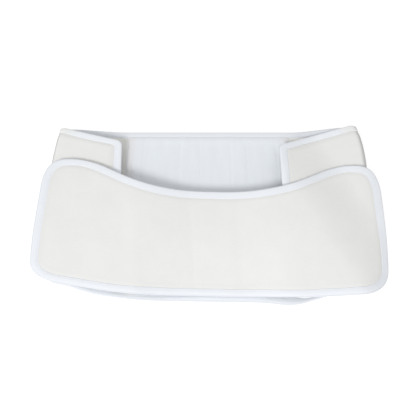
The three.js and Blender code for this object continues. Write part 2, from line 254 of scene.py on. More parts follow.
def band_place(points):
    """Middle of the band's cloth, where u runs along it from the middle of its back and v runs up it"""
    u, v = points[..., 0], points[..., 1]

    def wing(key):
        return np.where(u < 0, LEFT_WING[key], RIGHT_WING[key])

    side = wing("side")
    share = np.clip((v - wing("bottom")) / (BAND_TOP - wing("bottom")), 0, 1)
    curl = wing("curl") * share**2
    bulging = wing("bulge") * (1 - share ** wing("fullness"))
    outermost = wing("crease") + bulging - CREASE_TUCK * (1 - share) ** 4
    bulge = ROLL_SHARE * (lift_at(side * outermost, v) - curl)
    start = outermost - bulge
    rolled = np.abs(u) - BACK_HALF_LENGTH
    flat = np.minimum(start, np.abs(u) * start / BACK_HALF_LENGTH)
    ending = smooth(flat, CURL_START, start)
    low = LAYER_HALF + curl * ending
    flared = v + BAND_FLARE * share**2 * ending
    tucked = flared - WING_TUCK * share

    angle = math.pi * (np.clip(rolled / ROLL_LENGTH, 0, 1) - 0.5)
    turned = (1 + np.sin(angle)) / 2
    high = LAYER_HALF + lift_at(side * start, tucked)
    in_roll = [
        start + bulge * np.cos(angle),
        flared + (tucked - flared) * turned,
        low + (high - low) * turned,
    ]

    end = BACK_HALF_LENGTH - wing("length") + wing("lean") * (1 - share)
    x = start + (end - start) * (rolled - ROLL_LENGTH) / wing("length")
    y = tucked - (wing("slope") + (WING_SLOPE - wing("slope")) * share) * (start - x)
    on_wing = [x, y, LAYER_HALF + lift_at(side * x, y)]

    crown = BACK_CROWN * ridge(v, BACK_CROWN_UP, 7) * (1 - smooth(np.abs(u), 85, 125))
    on_back = [flat, flared, low + crown]
    place = [
        np.where(rolled <= 0, a, np.where(rolled <= ROLL_LENGTH, b, c))
        for a, b, c in zip(on_back, in_roll, on_wing)
    ]
    place[0] = place[0] * side
    above = np.where(rolled <= 0, 0, np.where(rolled <= ROLL_LENGTH, turned, 1))
    hem = BACK_HEM_LIFT * smooth(-v, 98, 114) * (1 - smooth(np.abs(u), 90, 140))
    return raised(np.stack(place, -1), crest_at(place[0], place[1]) * above + hem)


def panel_folds(x, y):
    """Soft upright folds and hollows in the front panel"""
    slanted = x + FOLD_SLANT * y
    crease_at, crease_width, crease_rise = FOLD_CREASE
    folds = steps(slanted, FOLDS) + crease_rise * ridge(slanted, crease_at, crease_width)
    folds -= FALL * np.clip((slanted - FALL_START) / FALL_LENGTH, 0, 1) ** 1.4
    folds += PANEL_CROWN * (1 - ((y - PANEL_CROWN_UP) / PANEL_CROWN_REACH) ** 2)
    folds -= EDGE_SAG * smooth(-y, 25, 118) * (1 - smooth(x, 58, 106)) * (1 - smooth(-x, 58, 96))
    past = np.clip(x - TURN_START + 0.15 * np.clip(-y - 10, 0, 80), 0, None)
    folds -= TURN_DEPTH * (past / TURN_REACH) ** 2
    points = np.stack([x, y * 0.45], -1)
    return folds + 0.22 * unevenness(points, 52, 3) + 0.08 * unevenness(points, 23, 4)


def panel_place(points):
    x, y = points[..., 0], points[..., 1]
    flat = np.stack([x, y, LAYER_HALF + lift_at(x, y) + STACK], -1)
    return raised(flat, crest_at(x, y) + panel_folds(x, y))


def patch_place(points):
    x, y = points[..., 0], points[..., 1]
    return raised(np.stack([x, y, LAYER_HALF + lift_at(x, y) + STACK / 2], -1), crest_at(x, y))


def normals_at(place, points):
    """Unit normals of a surface, on the side that shows when u runs right and v runs up"""
    step_u = np.array([0.5, 0.0])
    step_v = np.array([0.0, 0.5])
    along = place(points + step_u) - place(points - step_u)
    up = place(points + step_v) - place(points - step_v)
    normal = np.cross(along, up)
    return normal / np.linalg.norm(normal, axis=-1, keepdims=True)


# Outlines laid flat


def band_corners():
    def end(wing):
        return wing["side"] * (BACK_HALF_LENGTH + ROLL_LENGTH + wing["length"])

    left, right = LEFT_WING, RIGHT_WING
    return [
        (end(left), left["bottom"], WING_LOWER_CORNER, True),
        (-BACK_HALF_LENGTH, left["bottom"], CREASE_CORNER, False),
        *[(u * BACK_HALF_LENGTH, -v * BAND_BOTTOM, r * BAND_BOTTOM, False) for u, v, r in LOWER_EDGE],
        (BACK_HALF_LENGTH, right["bottom"], CREASE_CORNER, False),
        (end(right), right["bottom"], WING_LOWER_CORNER, True),
        (end(right), BAND_TOP, WING_UPPER_CORNER, True),
        (end(left), BAND_TOP, WING_UPPER_CORNER, True),
    ]


def panel_corners():
    corners = []
    for along, up, round_share, main in PANEL_CORNERS:
        x = along * PANEL_WIDTH / 2
        y = PANEL_TOP + (up - 1) * PANEL_HEIGHT
        u = PANEL_ACROSS + x * math.cos(PANEL_TURN) - y * math.sin(PANEL_TURN)
        v = x * math.sin(PANEL_TURN) + y * math.cos(PANEL_TURN)
        corners.append((u, v, round_share * PANEL_HEIGHT, main))
    return corners


def rectangle(across, up, width, height, corner_round):
    return [(across + i * width / 2, up + j * height / 2, corner_round, True) for i, j in SQUARE]


def inset_corners(corners, distance):
    """Moves an outline's corners inward by one distance"""
    moved = []
    for i, (u, v, corner_round, main) in enumerate(corners):
        before = corners[i - 1]
        after = corners[(i + 1) % len(corners)]
        a = np.array([u - before[0], v - before[1]])
        b = np.array([after[0] - u, after[1] - v])
        a /= np.linalg.norm(a)
        b /= np.linalg.norm(b)
        reach = distance / (1 + a @ b)
        inner_round = max(corner_round - distance, CLEARANCE * 4)
        moved.append((u - (a[1] + b[1]) * reach, v + (a[0] + b[0]) * reach, inner_round, main))
    return moved


def run_of(line):
    """Length along a line up to each of its points"""
    return np.concatenate([[0], np.cumsum(np.linalg.norm(np.diff(line, axis=0), axis=1))])


class Outline:
    """Closed line with rounded corners, and the shares of its length at its four main corners"""

    def __init__(self, corners):
        count = len(corners)
        spots = np.array([corner[:2] for corner in corners])
        points, halfway = [], []
        share = np.linspace(0, 1, BEND_STEPS + 1)[:, None]
        for i, corner in enumerate(corners):
            ends = []
            for other in (spots[i - 1], spots[(i + 1) % count]):
                towards = other - spots[i]
                length = np.linalg.norm(towards)
                ends.append(spots[i] + towards / length * min(corner[2], length * 0.49))
            bend = ends[0] * (1 - share) ** 2 + spots[i] * 2 * share * (1 - share) + ends[1] * share**2
            if corner[3]:
                halfway.append(len(points) + BEND_STEPS // 2)
            points.extend(bend)
        self.points = np.array(points + [points[0]])
        self.run = run_of(self.points)
        self.length = self.run[-1]
        self.marks = self.run[halfway] / self.length

    def at(self, shares):
        place = np.mod(shares, 1) * self.length
        return np.stack([np.interp(place, self.run, self.points[:, k]) for k in (0, 1)], -1)

    def sides(self, columns, rows):
        """Lower and upper sides, which run right, and left and right sides, which run up"""
        along = np.linspace(0, 1, columns + 1)
        across = np.linspace(0, 1, rows + 1)
        stops = list(self.marks) + [self.marks[0] + 1]

        def side(i, shares):
            return self.at(stops[i] + (stops[i + 1] - stops[i]) * shares)

        return side(0, along), side(1, across), side(2, 1 - along), side(3, 1 - across)

    def distance(self, points):
        """How far each point is from the line"""
        line = self.at(np.linspace(0, 1, 1600, endpoint=False))
        nearest = np.empty(len(points))
        for start in range(0, len(points), 4000):
            part = points[start : start + 4000]
            apart = part[:, None, :] - line[None, :, :]
            nearest[start : start + 4000] = np.sqrt((apart**2).sum(-1).min(1))
        return nearest


def loop_of(sides):
    lower, right, upper, left = sides
    return np.concatenate([lower[:-1], right[:-1], upper[::-1][:-1], left[::-1][:-1]])


# Meshes


def make_piece(name, points, faces, chart, corner_shares=None):
    """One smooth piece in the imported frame. chart is each point's place on its flat cloth, and with
    corner_shares it is each face corner's"""
    mesh = bpy.data.meshes.new(name)
    mesh.from_pydata(((points + MOVED) * MM).tolist(), [], faces)
    mesh.polygons.foreach_set("use_smooth", [True] * len(mesh.polygons))
    layer = mesh.uv_layers.new(name="cloth")
    corners = np.empty(len(mesh.loops), dtype=np.int32)
    mesh.loops.foreach_get("vertex_index", corners)
    laid = chart[corners] if corner_shares is None else corner_shares
    layer.uv.foreach_set("vector", (laid * MM).astype(np.float32).ravel())
    mesh.update()
    piece = bpy.data.objects.new(name, mesh)
    bpy.context.scene.collection.objects.link(piece)
    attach(piece, "root")
    return piece


def add_values(piece, values):
    """Keeps named values for each point, for the piece's material"""
    for name, each in values.items():
        made = piece.data.attributes.new(name, "FLOAT", "POINT")
        made.data.foreach_set("value", each.astype(np.float32))


def sheet_grid(corners, insets, columns, rows):
    """Flat points of a sheet, from rings at the insets and a grid blended from the innermost ring's
    sides. Gives the points, the quads and how many points the rim has"""
    rings = [Outline(inset_corners(corners, inset)).sides(columns, rows) for inset in insets]
    loops = [loop_of(sides) for sides in rings]
    around = len(loops[0])
    lower, right, upper, left = rings[-1]
    s = np.linspace(0, 1, columns + 1)[:, None, None]
    t = np.linspace(0, 1, rows + 1)[None, :, None]
    upright = lower[:, None] * (1 - t) + upper[:, None] * t
    level = left[None] * (1 - s) + right[None] * s
    low = lower[0] * (1 - s) + lower[-1] * s
    high = upper[0] * (1 - s) + upper[-1] * s
    grid = upright + level - (low * (1 - t) + high * t)

    first = around * (len(loops) - 1)
    index = np.full((columns + 1, rows + 1), -1)
    index[:, 0] = first + np.arange(columns + 1)
    index[columns, :] = first + columns + np.arange(rows + 1)
    index[:, rows] = first + 2 * columns + rows - np.arange(columns + 1)
    index[0, 1:] = first + 2 * columns + 2 * rows - np.arange(1, rows + 1)
    inside = index < 0
    index[inside] = around * len(loops) + np.arange(inside.sum())
    points = np.concatenate(loops + [grid[inside]])

    quads = []
    here = np.arange(around)
    following = (here + 1) % around
    for ring in range(len(loops) - 1):
        a, b = ring * around, (ring + 1) * around
        quads.append(np.stack([a + here, a + following, b + following, b + here], 1))
    cells = [index[:-1, :-1], index[1:, :-1], index[1:, 1:], index[:-1, 1:]]
    quads.append(np.stack([cell.ravel() for cell in cells], 1))
    return points, np.concatenate(quads), around


def thick_sheet(name, flat, quads, around, place, top, bottom):
    """Closed sheet between two heights over a surface"""
    middle = place(flat)
    normal = normals_at(place, flat)
    count = len(flat)
    points = np.concatenate([middle + normal * top[:, None], middle - normal * bottom[:, None]])
    here = np.arange(around)
    following = (here + 1) % around
    rim = np.stack([here + count, following + count, following, here], 1)
    faces = np.concatenate([quads, quads[:, ::-1] + count, rim])
    return make_piece(name, points, faces.tolist(), np.concatenate([flat, flat]))


def padded_half(distance, sizes):
    """Half the thickness of padded cloth, by the distance from its edge: pressed flat in the tape, then
    swelling to its full thickness beside the seam"""
    seam = sizes.tape_width / MM - 0.3
    part = np.clip((distance - seam) / (sizes.seam_swell / MM), 0, 1)
    pressed = sizes.pressed / MM / 2 + 0.42 * smooth(distance, seam - 1.2, seam)
    return pressed + (sizes.padding / MM / 2 - pressed) * (1 - (1 - part) ** 2)


def puckers(flat, distance, sizes):
    """Small gathers where the stitching draws the cloth in"""
    near = np.exp(-np.clip(distance - sizes.tape_width / MM, 0, None) / 5)
    deep = sizes.pucker / MM
    return deep * (near * unevenness(flat, 5.5, 11) + 0.35 * unevenness(flat, 13, 12))


def cloth_piece(name, corners, place, sizes, relief=None):
    extent = np.ptp(np.array([corner[:2] for corner in corners]), axis=0)
    columns, rows = (int(side / (sizes.mesh_step / MM)) for side in extent)
    flat, quads, around = sheet_grid(corners, CLOTH_INSETS, columns, rows)
    distance = Outline(corners).distance(flat)
    half = padded_half(distance, sizes)
    fullness = smooth(distance, 8.2, 14)
    uneven = puckers(flat, distance, sizes) * fullness
    if relief is not None:
        uneven = uneven + relief(flat) * fullness
    piece = thick_sheet(name, flat, quads, around, place, half + uneven, half - uneven * 0.3)
    if relief is not None:
        add_values(piece, fold_values(np.tile(flat, (2, 1))))
    add_values(piece, {"edge": np.tile(distance, 2) * MM})
    return piece


def band_relief(flat):
    """Short wrinkles where the ends fold over, and the turned edges along the lining's two ends"""
    u, v = flat[:, 0], flat[:, 1]
    edges = ridge(np.abs(u), LINING_WIDTH / 2 + 1.5, 1.3) * smooth(BAND_TOP - v, 8, 14)
    past = np.abs(u) - BACK_HALF_LENGTH
    side = np.where(u < 0, -1.0, 1.0)
    place = smooth(past, 8, 15) * (1 - smooth(past, 22, 42))
    slant = v + past * 0.35 * side
    waves = np.maximum(0, unevenness(np.stack([slant * 0.9, past * 0.18], -1), 6.0, 21))
    return 0.9 * edges - 0.95 * place * waves * np.where(u < 0, 0.5, 1.0)


# Tape folded over an edge

# Its section: the distance in from the cloth's edge, and the height over the cloth's middle
TAPE_TOP = [
    (8.6, 1.3), (8.75, 1.46), (8.6, 1.64), (8.2, 1.8), (7.7, 1.87), (7.25, 1.82), (6.95, 1.78),
    (6.7, 1.84), (6.3, 1.95), (5.2, 1.99), (3.6, 1.99), (2.2, 1.98), (1.1, 1.92), (0.3, 1.74),
    (-0.35, 1.4), (-0.78, 0.85), (-0.95, 0.0),
]


def panel_hem(points):
    """How much wider the tape shows than its mean width round the front panel"""
    x, y = points[:, 0], points[:, 1]
    lower = smooth(-y, 45, 95)
    right = smooth(x, 165, 200) * smooth(y, -70, 10)
    return 0.25 - 1.15 * lower + 1.4 * right


def band_hem(points):
    """How much wider the tape shows than its mean width round the band"""
    return -1.3 * smooth(np.abs(points[:, 0]), 150, 200)


def fold_values(points):
    """How much each flat point of the band is inside a fold, on its outermost line and on the way over
    it, each from 0 to 1. The materials paint shade and light in the folds by the first two"""
    far = np.abs(points[:, 0])
    past = far - BACK_HALF_LENGTH
    return {
        "inside": smooth(far, 84, 122) * (1 - smooth(past, -2, 6)) * np.where(points[:, 0] < 0, 0.4, 1.0),
        "outermost": smooth(past, 5, 10) * (1 - smooth(past, 16, 21)),
        "turned": smooth(past, 4, 12) * (1 - smooth(past, 26, 50)),
    }


def folded_tape(name, corners, place, hem_at, sizes):
    hem = sizes.tape_width / MM
    outer = Outline(corners)
    inner = Outline(inset_corners(corners, hem))
    extent = np.ptp(np.array([corner[:2] for corner in corners]), axis=0)
    columns, rows = (int(side / TAPE_STEP) for side in extent)
    rim = loop_of(outer.sides(columns, rows))
    toward = (loop_of(inner.sides(columns, rows)) - rim) / hem
    run = run_of(np.concatenate([rim, rim[:1]]))

    half = [(distance * hem / TAPE_WIDTH, height) for distance, height in TAPE_TOP]
    section = np.array(half + [(d, -h) for d, h in half[::-1][1:]] + TAPE_INSIDE)
    total = len(section)
    turns = np.concatenate([section, section[:1]])
    across = run_of(turns)

    marks = np.stack([run[:-1], np.zeros(len(rim))], -1)
    wander = 0.22 * unevenness(marks, 17, 31) + 0.1 * unevenness(marks, 5, 32) + hem_at(rim)
    gather = 0.07 * unevenness(marks, 3.1, 33)
    rings = []
    for distance, height in section:
        inwards = distance + wander * smooth(distance, 2, 6.5)
        flat = rim + toward * inwards[:, None]
        full = height * (1 - 0.035 * np.abs(unevenness(marks + distance * 3, 9, 34)))
        full = full + np.sign(height) * gather * ridge(distance, 7.9, 1.2) * (abs(height) > 1.5)
        rings.append(place(flat) + normals_at(place, flat) * full[:, None])
    points = np.stack(rings, 1).reshape(-1, 3)

    i = np.arange(len(rim))[:, None]
    j = np.arange(total)[None, :]
    following = (i + 1) % len(rim)
    beside = (j + 1) % total
    corners_of = [i * total + j, i * total + beside, following * total + beside, following * total + j]
    faces = np.stack([np.broadcast_to(c, (len(rim), total)).ravel() for c in corners_of], 1)
    shape = (len(rim), total)
    along = [np.broadcast_to(run[k], shape).ravel() for k in (i, i, i + 1, i + 1)]
    over = [np.broadcast_to(across[k], shape).ravel() for k in (j, j + 1, j + 1, j)]
    laid = np.stack([np.stack(along, 1), np.stack(over, 1)], -1).reshape(-1, 2)
    piece = make_piece(name, points, faces.tolist(), None, laid)
    width = across[-1] / 2
    return piece, np.repeat(rim, total, 0), width * MM, outer.length * MM


# Stitches


def stitch_rows(name, rows, sizes):
    """Sewn rows, each (flat line, surface, height on it, +1 or -1 for its side). Every stitch is a short
    thread that dives into the cloth at both ends"""
    length = sizes.stitch_length / MM
    pitch = length + sizes.stitch_gap / MM
    radius = sizes.thread / MM / 2
    share = np.linspace(0, 1, STITCH_RINGS)
    arch = np.sin(share * math.pi) ** 0.6
    angles = np.arange(STITCH_SIDES) / STITCH_SIDES * 2 * math.pi
    wall_points = STITCH_RINGS * STITCH_SIDES
    last_ring = wall_points - STITCH_SIDES
    every_point, every_chart, every_face = [], [], []
    offset = 0
    for line, place, height, side in rows:
        run = run_of(line)
        count = int(run[-1] / pitch)
        starts = np.arange(count) * run[-1] / count
        at = starts[:, None] + share[None] * length
        flat = np.stack([np.interp(at % run[-1], run, line[:, k]) for k in (0, 1)], -1)
        level = height(flat) if callable(height) else height
        normal = normals_at(place, flat) * side
        middle = place(flat) + normal * (level + radius * (1.15 * arch[None] - 0.75))[..., None]
        along = np.gradient(middle, axis=1)
        along /= np.linalg.norm(along, axis=-1, keepdims=True)
        beside = np.cross(normal, along)
        thin = (radius * (0.45 + 0.55 * arch))[None, :, None, None]
        ring = beside[:, :, None] * np.cos(angles)[:, None] + normal[:, :, None] * np.sin(angles)[:, None]
        points = middle[:, :, None] + ring * thin
        points = points.reshape(count, -1, 3)
        tips = [middle[:, 0] - along[:, 0] * radius * 0.5, middle[:, -1] + along[:, -1] * radius * 0.5]
        points = np.concatenate([points, np.stack(tips, 1)], 1)
        each = points.shape[1]
        faces = []
        for ring_start in range(0, last_ring, STITCH_SIDES):
            following = ring_start + STITCH_SIDES
            for m in range(STITCH_SIDES):
                n = (m + 1) % STITCH_SIDES
                faces.append([ring_start + m, following + m, following + n, ring_start + n])
        for m in range(STITCH_SIDES):
            n = (m + 1) % STITCH_SIDES
            faces.append([wall_points, m, n])
            faces.append([wall_points + 1, last_ring + n, last_ring + m])
        bases = offset + np.arange(count) * each
        every_face += [[base + k for k in face] for base in bases.tolist() for face in faces]
        shape = (count, STITCH_RINGS, STITCH_SIDES)
        turned = np.broadcast_to(angles[None, None] * radius, shape)
        lengths = np.broadcast_to(at[:, :, None], shape)
        chart = np.stack([lengths, turned], -1).reshape(count, wall_points, 2)
        ends = np.stack([at[:, [0, -1]], np.zeros((count, 2))], -1)
        every_chart.append(np.concatenate([chart, ends], 1).reshape(-1, 2))
        every_point.append(points.reshape(-1, 3))
        offset += count * each
    return make_piece(name, np.concatenate(every_point), every_face, np.concatenate(every_chart))


def seam_line(corners, inset, hem_at):
    """Line of the seam in a folded tape, which follows the tape's hem"""
    shares = np.linspace(0, 1, LINE_POINTS)
    outer = Outline(corners)
    marks = outer.marks
    inner = Outline(inset_corners(corners, TAPE_WIDTH))
    stops = np.append(marks, marks[0] + 1)
    inner_stops = np.append(inner.marks, inner.marks[0] + 1)
    rim = outer.at(stops[0] + shares)
    hem = inner.at(np.interp(stops[0] + shares, stops, inner_stops))
    return rim + (hem - rim) / TAPE_WIDTH * (inset + hem_at(rim))[:, None]


def ring_line(corners, inset):
    outline = Outline(inset_corners(corners, inset))
    return outline.at(np.linspace(0, 1 - 1e-9, LINE_POINTS))


# Lining


def stay_spans():
    """Start and end of each stay's raised part, along the band"""
    middles = [(along * LINING_WIDTH / 2, width * LINING_WIDTH / 2) for along, width in STAYS]
    return [(middle - half, middle + half) for middle, half in middles]


def stay_seams(start, end):
    """Places of the two seams beside a stay"""
    return start - STAY_RAMP - STAY_SEAM, end + STAY_RAMP + STAY_SEAM


def lining_corners(inset=0.0):
    corners = rectangle(0, (BAND_TOP - BAND_BOTTOM) / 2, LINING_WIDTH, LINING_HEIGHT, LINING_CORNER)
    return inset_corners(corners, inset) if inset else corners


def lining_top(flat, distance):
    """Height of the lining's face over the middle of the band's cloth"""
    u, v = flat[..., 0], flat[..., 1]
    top = WALL / 2 + 0.12 + (CLEARANCE + LINING_THICKNESS - 0.12) * smooth(distance, -0.6, 5)
    top = top - 0.06 * ridge(distance, 3.4, 0.8)
    for start, end in stay_spans():
        over = smooth(u, start - STAY_RAMP, start + 2.5) * (1 - smooth(u, end - 2.5, end + STAY_RAMP))
        top = top + STAY_RISE * 0.36 * over * smooth(distance, 3, 9)
        for seam in stay_seams(start, end):
            top = top - 0.07 * ridge(u, seam, 0.9)
    soft = 0.12 * unevenness(np.stack([u, v * 0.4], -1), 9, 41) + 0.1 * unevenness(flat, 21, 42)
    return top + soft * smooth(distance, 1, 6)


# Materials


class Value:
    """A node's output that Python's own operators work on"""

    def __init__(self, finish, socket):
        self.finish = finish
        self.socket = socket

    def _with(self, operation, first, second):
        values = [first, second]
        kinds = {value.socket.type for value in values if isinstance(value, Value)}
        if kinds == {"VALUE"}:
            return self.finish.node("ShaderNodeMath", {"operation": operation}, {0: first, 1: second})
        if "RGBA" in kinds:
            settings = {"data_type": "RGBA", "blend_type": operation}
            sides = [self.finish.grey(value) for value in values]
            sockets = {"Factor_Float": 1.0, "A_Color": sides[0], "B_Color": sides[1]}
            return self.finish.node("ShaderNodeMix", settings, sockets, "Result_Color")
        if operation == "MULTIPLY" and len(kinds) == 1 and not isinstance(second, (Value, tuple)):
            sockets = {0: first, "Scale": second}
            return self.finish.node("ShaderNodeVectorMath", {"operation": "SCALE"}, sockets)
        return self.finish.node("ShaderNodeVectorMath", {"operation": operation}, {0: first, 1: second})

    def __add__(self, other):
        return self._with("ADD", self, other)

    def __radd__(self, other):
        return self._with("ADD", other, self)

    def __sub__(self, other):
        return self._with("SUBTRACT", self, other)

    def __rsub__(self, other):
        return self._with("SUBTRACT", other, self)

    def __mul__(self, other):
        return self._with("MULTIPLY", self, other)

    def __rmul__(self, other):
        return self._with("MULTIPLY", self, other)


class Finish:
    """A material and the nodes that it is made of"""

    def __init__(self, name):
        self.material = bpy.data.materials.new(name)
        self.material.use_nodes = True
        self.nodes = self.material.node_tree.nodes
        self.links = self.material.node_tree.links
        self.nodes.clear()

    def node(self, kind, settings=None, sockets=None, output=0):
        """One node: its settings first, then its sockets' values or links. Gives one of its outputs"""
        made = self.nodes.new(kind)
        for key, value in (settings or {}).items():
            setattr(made, key, value)
        for key, value in (sockets or {}).items():
            socket = self.find(made.inputs, key)
            if isinstance(value, Value):
                self.links.new(value.socket, socket)
            else:
                socket.default_value = value
        return None if output is None else Value(self, self.find(made.outputs, output))

    @staticmethod
    def find(sockets, key):
        if isinstance(key, int):
            return sockets[key]
        return next((socket for socket in sockets if socket.identifier == key), None) or sockets[key]

    @staticmethod
    def grey(value):
        return (value, value, value, 1) if isinstance(value, (int, float)) else value

    def cloth_place(self):
        """Place on the flat cloth, in millimetres"""
        laid = self.node("ShaderNodeUVMap", {"uv_map": "cloth"}, output="UV")
        return laid * (1 / MM)

    def stored(self, name):
        """A value kept for each point under a name"""
        settings = {"attribute_name": name, "attribute_type": "GEOMETRY"}
        return self.node("ShaderNodeAttribute", settings, output="Fac")

    def parts(self, vector):
        first = self.node("ShaderNodeSeparateXYZ", {}, {0: vector})
        return first, Value(self, first.socket.node.outputs[1])

    def vector(self, x, y):
        return self.node("ShaderNodeCombineXYZ", {}, {0: x, 1: y, 2: 0.0})

    def noise(self, place, scale, detail=2.0, roughness=0.5):
        sockets = {"Vector": place, "Scale": scale, "Detail": detail, "Roughness": roughness}
        return self.node("ShaderNodeTexNoise", {"noise_dimensions": "2D"}, sockets)

    def cells(self, place, scale):
        settings = {"voronoi_dimensions": "2D", "feature": "SMOOTH_F1"}
        return self.node("ShaderNodeTexVoronoi", settings, {"Vector": place, "Scale": scale}, "Distance")

    def wave(self, value, period):
        """From 0 to 1 and back over each period"""
        turned = value * (2 * math.pi / period)
        return self.node("ShaderNodeMath", {"operation": "SINE"}, {0: turned}) * 0.5 + 0.5

    def between(self, value, start, end):
        sockets = {"Value": value, "From Min": start, "From Max": end, "To Min": 0.0, "To Max": 1.0}
        settings = {"interpolation_type": "SMOOTHSTEP"}
        return self.node("ShaderNodeMapRange", settings, sockets)

    def blend(self, share, first, second):
        sockets = {"Factor_Float": share, "A_Color": first, "B_Color": second}
        return self.node("ShaderNodeMix", {"data_type": "RGBA"}, sockets, "Result_Color")

    def bump(self, height, depth, strength):
        return self.node("ShaderNodeBump", {}, {"Strength": strength, "Distance": depth, "Height": height})

    def surface(self, **sockets):
        named = {key.replace("_", " ").title(): value for key, value in sockets.items()}
        shader = self.node("ShaderNodeBsdfPrincipled", {}, named)
        self.node("ShaderNodeOutputMaterial", {}, {"Surface": shader}, None)
        return self.material


def darker(colour, share):
    return (colour[0] * share, colour[1] * share, colour[2] * share, 1)


def opaque(colour):
    return (colour[0], colour[1], colour[2], 1)


# Sizes and colours that a user would change


def length_property(name, description, default, most=0.05):
    return bpy.props.FloatProperty(
        name=name,
        description=description,
        default=default,
        min=0.0,
        max=most,
        precision=5,
        subtype="DISTANCE",
        unit="LENGTH",
    )


def colour_property(name, description, default):
    return bpy.props.FloatVectorProperty(
        name=name, description=description, default=default, size=3, min=0.0, max=1.0, subtype="COLOR"
    )


class BeltSizes(bpy.types.PropertyGroup):
    padding: length_property("Padding", "Full thickness of the padded cloth", WALL * MM)
    pressed: length_property("Pressed edge", "Thickness of the cloth inside the tape", MARGIN * MM)
    tape_width: length_property("Tape width", "Width of the tape on each side of an edge", TAPE_WIDTH * MM)
    seam_swell: length_property("Seam swell", "Distance over which the cloth swells beside a seam", 0.0048)
    pucker: length_property("Puckers", "Depth of the gathers along the seams", 0.00016)
    stitch_length: length_property("Stitch length", "Length of each stitch", 0.0027)
    stitch_gap: length_property("Stitch gap", "Gap between two stitches", 0.0007)
    thread: length_property("Thread", "Thickness of the sewing thread", 0.0004)
    mesh_step: length_property("Mesh step", "Size of the cloth's mesh cells", 0.0024)


class BeltColours(bpy.types.PropertyGroup):
    cream: colour_property("Cream cloth", "Colour of the loop cloth", (0.756, 0.759, 0.743))
    tape: colour_property("Tape", "Colour of the binding tape", (0.786, 0.811, 0.853))
    lining: colour_property("Lining", "Colour of the back's lining", (0.758, 0.79, 0.826))
    hooks: colour_property("Hook tape", "Colour of the hook patches", (0.78, 0.79, 0.80))
    thread: colour_property("Thread", "Colour of the sewing thread", (0.79, 0.81, 0.83))
    floor: colour_property("Floor", "Colour of the floor", (0.32, 0.32, 0.32))


def loop_cloth_finish(colours):
    finish = Finish("cream loop cloth")
    place = finish.cloth_place()
    pile = finish.noise(place, 1.7, 3.0, 0.65)
    loops = finish.cells(place, 1.15)
    across, up = finish.parts(place)
    brushed = finish.noise(finish.vector(across * 0.16, up * 0.5), 1.0, 3.0)
    patches = finish.noise(place, 0.028, 3.0, 0.55)
    # Painted shade: the cream is painted up to a few percent darker in a band beside each seam
    seam_shade = 1 - finish.between(finish.stored("edge") * (1 / MM), 9.5, 16.0)
    shade = finish.between(patches, 0.32, 0.68) * 0.5 + finish.between(brushed, 0.3, 0.7) * 0.3 + pile * 0.35
    colour = finish.blend(shade, darker(colours.cream, 0.965), opaque(colours.cream))
    colour = finish.blend(seam_shade * 0.7, colour, darker(colours.cream, 0.935))
    # Painted light: the cloth inside the band's folds is painted lighter than the cream, lifting the shade
    # there
    colour = finish.blend(finish.stored("inside") * 2, colour, (0.84, 0.828, 0.785, 1))
    # Painted shade: a dark line along the outermost line of each fold, where the cloth turns away from the
    # light
    colour = finish.blend(finish.stored("outermost"), colour, darker(colours.cream, 0.62))
    height = pile * 0.65 + (1 - loops) * 0.35 + brushed * 0.25
    return finish.surface(
        base_color=colour,
        roughness=pile * 0.12 + 0.86,
        normal=finish.bump(height, 0.00016, 0.7),
        sheen_weight=0.22,
        sheen_roughness=0.55,
    )


def tape_finish(colours):
    finish = Finish("white ribbed tape")
    along, across = finish.parts(finish.cloth_place())
    ribs = finish.wave(along, 0.85)
    yarns = finish.wave(across, 0.55)
    fuzz = finish.noise(finish.vector(along, across), 2.2, 3.0)
    soiled = finish.noise(finish.vector(along * 0.03, across * 0.12), 1.0, 2.0)
    # Painted shade: the tape is painted darker over its folded outer rim
    fold = finish.between(across, 8.0, 9.8) - finish.between(across, 11.2, 13.0)
    shade = ribs * 0.35 + yarns * 0.15 + fuzz * 0.3 + finish.between(soiled, 0.3, 0.7) * 0.25
    colour = finish.blend(shade, darker(colours.tape, 0.95), opaque(colours.tape))
    colour = finish.blend(fold, colour, darker(colours.tape, 0.8))
    # Painted shade: the tape inside the band's folds is painted darker
    colour = finish.blend(finish.stored("inside"), colour, darker(colours.tape, 0.86))
    colour = finish.blend(finish.stored("turned") * 0.85, colour, opaque(colours.cream))
    # Painted shade: a dark line on the tape along each fold's outermost line
    colour = finish.blend(finish.stored("outermost"), colour, darker(colours.cream, 0.7))
    height = ribs * 0.6 + yarns * 0.2 + fuzz * 0.3
    return finish.surface(
        base_color=colour,
        roughness=fuzz * 0.15 + 0.68,
        normal=finish.bump(height, 0.00012, 0.6),
        sheen_weight=0.12,
        sheen_roughness=0.4,
    )


def lining_finish(colours):
    finish = Finish("bluish white lining")
    across, up = finish.parts(finish.cloth_place())
    wales = finish.wave(across, 0.8)
    courses = finish.wave(up + finish.wave(across, 0.8) * 0.25, 0.6)
    fuzz = finish.noise(finish.vector(across, up), 1.6, 2.0)
    hang = finish.noise(finish.vector(across * 0.11, up * 0.02), 1.0, 3.0)
    shade = wales * 0.25 + courses * 0.2 + fuzz * 0.3 + finish.between(hang, 0.3, 0.7) * 0.35
    colour = finish.blend(shade, darker(colours.lining, 0.955), opaque(colours.lining))
    outward = across * across * (4 / LINING_WIDTH ** 2)
    # Painted shade: the lining is painted darker and greyer towards both its ends, beside the folded ends
    colour = finish.blend(finish.between(outward, 0.7, 0.92), colour, (0.735, 0.732, 0.75, 1))
    colour = finish.blend(finish.between(outward, 0.955, 0.975), colour, opaque(colours.cream))
    height = wales * 0.5 + courses * 0.35 + fuzz * 0.3
    return finish.surface(
        base_color=colour,
        roughness=fuzz * 0.15 + 0.66,
        normal=finish.bump(height, 0.0001, 0.6),
        sheen_weight=0.15,
        sheen_roughness=0.4,
    )


